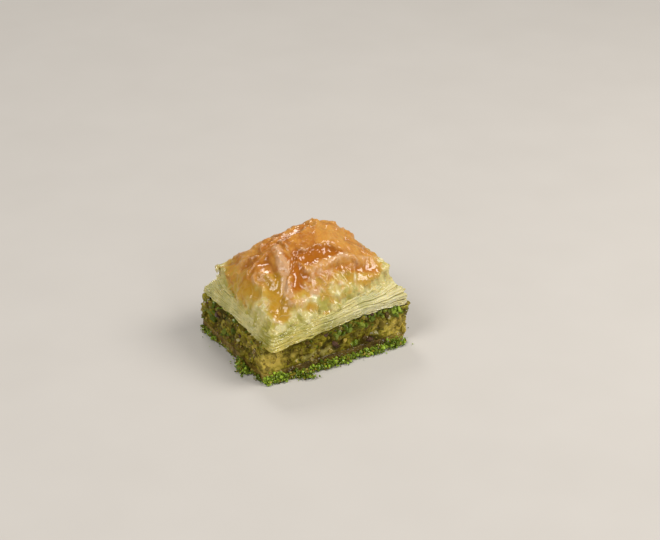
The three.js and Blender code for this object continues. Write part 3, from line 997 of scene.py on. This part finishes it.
def crust_finish():
    """Glazed leaf: green straw low down, gold to orange on top, with syrup, pale ridges that partly carry painted
    highlights and reflections, and paper creases.
    """
    f = moist("glazed_crust", 0.18, (1.0, 0.5, 0.2), 0.0016, 0.15, Coat_Roughness=0.08, Coat_IOR=1.55)
    browned, pale, syrup, honey, golden = (
        f.layer(n) for n in ("browned", "pale", "syrup", "honey", "golden"))
    cloud, speck, streak = f.grain(190), f.grain(1300), f.grain(1, 2, stretch=(210, 210, 110))
    tone = browned + 0.4 * (cloud - 0.5) + 0.12 * (speck - 0.5)
    low = f.overlaid(
        STRAW_GREEN,
        # straw streaks, more of them towards the right end as painted light
        (STRAW, streak + 0.1 * f.layer("right") - 0.05, 0.34, 0.6, 1),
        (CREAM, f.grain(230, 2), 0.52, 0.72, 0.35))
    high = f.mix((f.grain(330, 4) + 0.12 * golden).above(0.38, 0.66), ORANGE, GOLD)
    high = f.mix(golden * 0.45, high, PALE_GOLD)
    amber = f.mix(browned.above(0.2, 0.7), HONEY, DEEP_AMBER)
    # Pale marks: dry leaf on the ridges, partly painted highlights (ivory, low down) and painted sky reflection
    # (pink, on the browned top).
    ridge = f.mix(browned.above(0.1, 0.6), IVORY_AND_GLINT, PINK_AND_SHEEN)
    colour = f.overlaid(
        low,
        (YELLOW, tone, 0.05, 0.5, 1),
        (high, tone, 0.4, 0.95, 1),
        (HONEY, honey + 0.4 * (cloud - 0.5), 0.2, 0.8, 0.9),
        (amber, syrup, 0.2, 1.0, 0.9),
        (ridge, pale, 0.2, 0.85, 0.75),
        (TOASTED, speck, 0.55, 0.75, 0.3))
    # fine creases, as in paper, along the edges of bent cells
    drift = f.node("TexNoise", {}, Vector=f.place, Scale=160, Detail=2, output="Color")
    bent = f.node("VectorMath", {"operation": "MULTIPLY_ADD"}, drift, (0.005, 0.005, 0.005), f.place)
    crease = f.node("TexVoronoi", {"feature": "DISTANCE_TO_EDGE"}, Vector=bent, Scale=210)
    crease = (1.0 - crease.above(0.0, 0.07)) * (cloud.above(0.4, 0.6) * 0.7 + 0.3) * (1.0 - 0.8 * syrup)
    paper = f.mix(browned.above(0.1, 0.6), (0.86, 0.80, 0.55), (0.74, 0.46, 0.20))
    f.feeds(Base_Color=f.mix(crease * 0.14, colour, paper))
    f.feeds(Roughness=0.42 - 0.18 * syrup.above(0.2, 0.8) + 0.2 * (speck - 0.5))
    f.feeds(Coat_Weight=0.26 + 0.62 * (syrup + 0.4 * honey + 0.6 * f.grain(420, 2) - 0.2).above(0.0, 0.5))
    fine = 0.35 * f.grain(1100) + 0.2 * f.grain(3200, 2)
    calm = 1.0 - 0.8 * syrup.above(0.2, 0.7)
    rise = 0.28 * crease + 0.5 * f.grain(480, 2) * calm + calm * (0.4 + 0.6 * browned.above(0.1, 0.6)) * fine
    f.bumped(rise, 0.0003)
    return f.material


def leaf_finish():
    """Pale leaf edges, with painted shade in the gaps between them, lighter in painted light where they are bright
    and darker in painted shade where they are not.
    """
    f = moist("leaf_edges", 0.25, (1.0, 0.8, 0.25), 0.0014, 0.15, Coat_Weight=0.8)
    bright = f.layer("bright")
    along = f.grain(1, 2, stretch=(170, 170, 420))
    line = f.grain(1, 3, stretch=(240, 240, 1500))
    colour = f.overlaid(
        (0.40, 0.37, 0.07),
        ((0.72, 0.63, 0.25), f.grain(180, 4), 0.4, 0.62, 1),
        ((0.58, 0.43, 0.09), f.grain(140, 2), 0.52, 0.66, 0.6),
        ((0.30, 0.31, 0.045), along, 0.56, 0.7, 0.6),
        # cream streaks along the leaves: paler leaf, and partly painted highlights on the leaf edges
        ((0.90, 0.85, 0.56), line, 0.46, 0.7, 0.5))
    # Painted light where bright is high, and painted shade, by multiplying, where it is low.
    colour = f.mix(bright * 0.48, colour, (0.88, 0.82, 0.54))
    colour = f.mix(1.0 - bright, colour, (0.88, 0.84, 0.56), "MULTIPLY")
    colour = f.overlaid(
        colour,
        ((0.60, 0.42, 0.12), f.layer("upper"), 0.65, 1.0, 0.5),
        # painted shade in the gaps between the leaves
        ((0.33, 0.32, 0.035), f.layer("recess"), 0.15, 0.8, 0.9))
    f.feeds(Base_Color=colour, Roughness=0.38 + 0.25 * f.grain(700, 2))
    f.bumped(f.grain(1500), 0.0001)
    return f.material


def filling_finish():
    """Nut paste in syrup: brown and olive, with amber, light, green and dark patches, and painted shade in its
    hollows.
    """
    f = moist("nut_paste", 0.2, (0.9, 0.8, 0.2), 0.0012, 0.08)
    amber, dark, light, green, deep = (f.layer(n) for n in ("amber", "dark", "light", "green", "deep"))
    cloud, fleck = f.grain(420, 4), f.grain(1700)
    drawn = f.grain(1, 4, stretch=(260, 260, 1100))
    colour = f.overlaid(
        (0.09, 0.062, 0.003),
        ((0.29, 0.25, 0.012), cloud, 0.36, 0.64, 1),
        ((0.42, 0.38, 0.03), fleck, 0.52, 0.68, 0.55),
        ((0.40, 0.34, 0.035), drawn, 0.5, 0.66, 0.5),
        ((0.075, 0.042, 0.005), 0.9 - drawn - 0.4 * amber, 0.4, 0.56, 0.6),
        ((0.80, 0.60, 0.11), amber + 1.5 * (cloud - 0.5), 0.15, 0.85, 0.74),
        ((0.46, 0.40, 0.12), light, 0.2, 0.8, 0.8),
        ((0.10, 0.13, 0.018), green, 0.2, 0.8, 0.6),
        ((0.055, 0.040, 0.009), dark, 0.2, 0.8, 0.8),
        # painted shade in the hollows
        ((0.035, 0.028, 0.004), deep - 0.8 * amber, 0.2, 0.9, 0.7))
    f.feeds(Base_Color=colour, Roughness=0.4 + 0.4 * fleck, Coat_Weight=0.5 * cloud.above(0.45, 0.75) + 0.4 * amber)
    f.bumped(0.6 * fleck + 0.4 * f.grain(3500, 2), 0.0002)
    return f.material


def sheet_finish():
    """Soaked sheets: brown, amber at the corner, golden flecks that are painted glints, and painted shade between
    the sheets.
    """
    f = moist("soaked_sheets", 0.2, (1.0, 0.6, 0.2), 0.0012, 0.1, Coat_Weight=0.6)
    colour = f.overlaid(
        (0.11, 0.065, 0.008),
        ((0.24, 0.16, 0.022), f.layer("light"), 0.25, 0.8, 1),
        ((0.52, 0.38, 0.055), f.layer("amber") + 0.8 * (f.grain(500) - 0.5), 0.2, 0.9, 0.8),
        # golden flecks: painted glints on the sheet edges
        ((0.38, 0.31, 0.08), f.grain(900), 0.52, 0.7, 0.6))
    # painted shade between the sheets
    colour = f.mix(f.layer("deep") * 0.8, colour, (0.045, 0.028, 0.005))
    f.feeds(Base_Color=colour, Roughness=0.28 + 0.3 * f.grain(800, 2))
    f.bumped(f.grain(1800), 0.00015)
    return f.material


def nut_finish(name, bright, amber):
    """Chopped pistachio, coloured grain by grain."""
    f = moist(name, 0.2, (0.6, 0.9, 0.2), 0.0008, 0.12, Coat_Weight=0.4)
    tint, shade = f.layer("tint"), f.layer("shade")
    stops = [
        (0.0, (0.14, 0.07, 0.045)), (0.12, (0.12, 0.065, 0.02)), (0.24, (0.19, 0.12, 0.012)),
        (0.42, (0.30, 0.25, 0.018)), (0.62, (0.14, 0.22, 0.014)), (0.8, bright),
        (0.88, (0.33, 0.45, 0.045)), (0.93, amber), (1.0, amber),
    ]
    colour = f.node("ValToRGB", {"stops": stops}, tint)
    dim = f.mix(1.0, colour, (0.5, 0.5, 0.5), "MULTIPLY")
    colour = f.mix((0.75 * shade + 0.5 * (f.grain(1400) - 0.3)).above(0.0, 0.9), dim, colour)
    f.feeds(Base_Color=colour, Roughness=0.35 + 0.35 * f.grain(2000, 2))
    f.bumped(f.grain(2600), 0.00012)
    return f.material


def syrup_finish():
    f = Finish("syrup", Transmission_Weight=0.85, IOR=1.45, Roughness=0.04)
    f.feeds(Base_Color=f.mix(f.grain(300, 1), (0.95, 0.80, 0.42), (0.90, 0.66, 0.22)))
    return f.material


# ---- the piece


def build():
    finished("crust", crust_body(), crust_finish(), stands_for=["top_pastry"])
    leaves = leaf_finish()
    finished("leaf_edges", leaf_stack(), leaves, smooth=False)
    finished("flakes", flakes(), leaves)
    paste = closed_wall(FILLING_ROWS, filling_side)
    finished("nut_paste", paste, filling_finish(), stands_for=["pistachio_filling"])
    chopped_nut = nut_finish("nut_bits", bright=(0.27, 0.33, 0.035), amber=(0.44, 0.33, 0.045))
    finished("nut_bits", filling_bits(), chopped_nut, smooth=False)
    sheets = closed_wall(SHEETS_ROWS, sheet_side)
    finished("soaked_sheets", sheets, sheet_finish(), stands_for=["bottom_pastry"])
    ground_nut = nut_finish("ground_nut", bright=(0.38, 0.54, 0.045), amber=(0.50, 0.40, 0.07))
    finished("foot_crumbs", foot_crumbs(), ground_nut, smooth=False)
    beads = joined(syrup_bead(spot, width) for *spot, width in BEADS)
    finished("syrup_beads", beads, syrup_finish())


# ---- studio

AZIMUTH, ELEVATION = -31.4, 28.2  # of the camera, in degrees from the front
CAMERA_DISTANCE = 0.596
LENS = 100
AIM_RIGHT, AIM_UP = 0.0091, 0.0207  # where the camera looks, from the foot
FOOT_SHIFT = 0.0005  # the foot's middle lies left of its box's, as its right end leans out
WARM = (1.0, 0.97, 0.93)
LAMPS = [  # name, azimuth, elevation, distance, size, power, colour
    ("window", 60, 46, 0.7, 0.34, 3.6, WARM),
    ("sky", -80, 48, 0.8, 0.4, 3.3, (1.0, 0.98, 0.96)),
    ("rim", 165, 42, 0.8, 0.22, 1.5, WARM),
    ("front", 5, 28, 1.2, 0.3, 2.2, WARM),
]


def direction(azimuth, elevation):
    """From the piece outwards, by degrees round from the front and degrees up."""
    a, e = math.radians(azimuth), math.radians(elevation)
    return Vector((math.sin(a) * math.cos(e), -math.cos(a) * math.cos(e), math.sin(e)))


def place_camera():
    back = direction(AZIMUTH, ELEVATION)
    right = Vector((math.cos(math.radians(AZIMUTH)), math.sin(math.radians(AZIMUTH)), 0))
    low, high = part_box("bottom_pastry")
    foot = Vector(((low.x + high.x) / 2 - FOOT_SHIFT, (low.y + high.y) / 2, 0))
    camera = placed("camera", bpy.data.cameras.new("camera"))
    camera.data.lens = LENS
    camera.location = foot + right * AIM_RIGHT + back.cross(right) * AIM_UP + back * CAMERA_DISTANCE
    camera.rotation_euler = back.to_track_quat("Z", "Y").to_euler()
    bpy.context.scene.camera = camera


def studio():
    """A pale floor, four soft lamps and a faint even light."""
    floor = placed("floor", as_mesh("floor", sheet(1, 1, size=1.5)[0]))
    cloth = Finish("floor", Roughness=0.7)
    cloth.feeds(Base_Color=cloth.mix(cloth.grain(30, 2), (0.56, 0.53, 0.49), (0.60, 0.57, 0.53)))
    floor.data.materials.append(cloth.material)
    for name, azimuth, elevation, distance, size, power, colour in LAMPS:
        lamp = bpy.data.lights.new(name, "AREA")
        lamp.size, lamp.energy, lamp.color = size, power, colour
        light = placed(name, lamp)
        way = direction(azimuth, elevation)
        light.location = way * distance
        light.rotation_euler = way.to_track_quat("Z", "Y").to_euler()
    world = bpy.data.worlds.new("room")
    world.use_nodes = True
    sky = world.node_tree.nodes["Background"].inputs
    sky["Color"].default_value = (1.0, 0.98, 0.95, 1)
    sky["Strength"].default_value = 0.11
    bpy.context.scene.world = world
    bpy.context.scene.view_settings.view_transform = "Standard"


place_camera()
studio()
build()
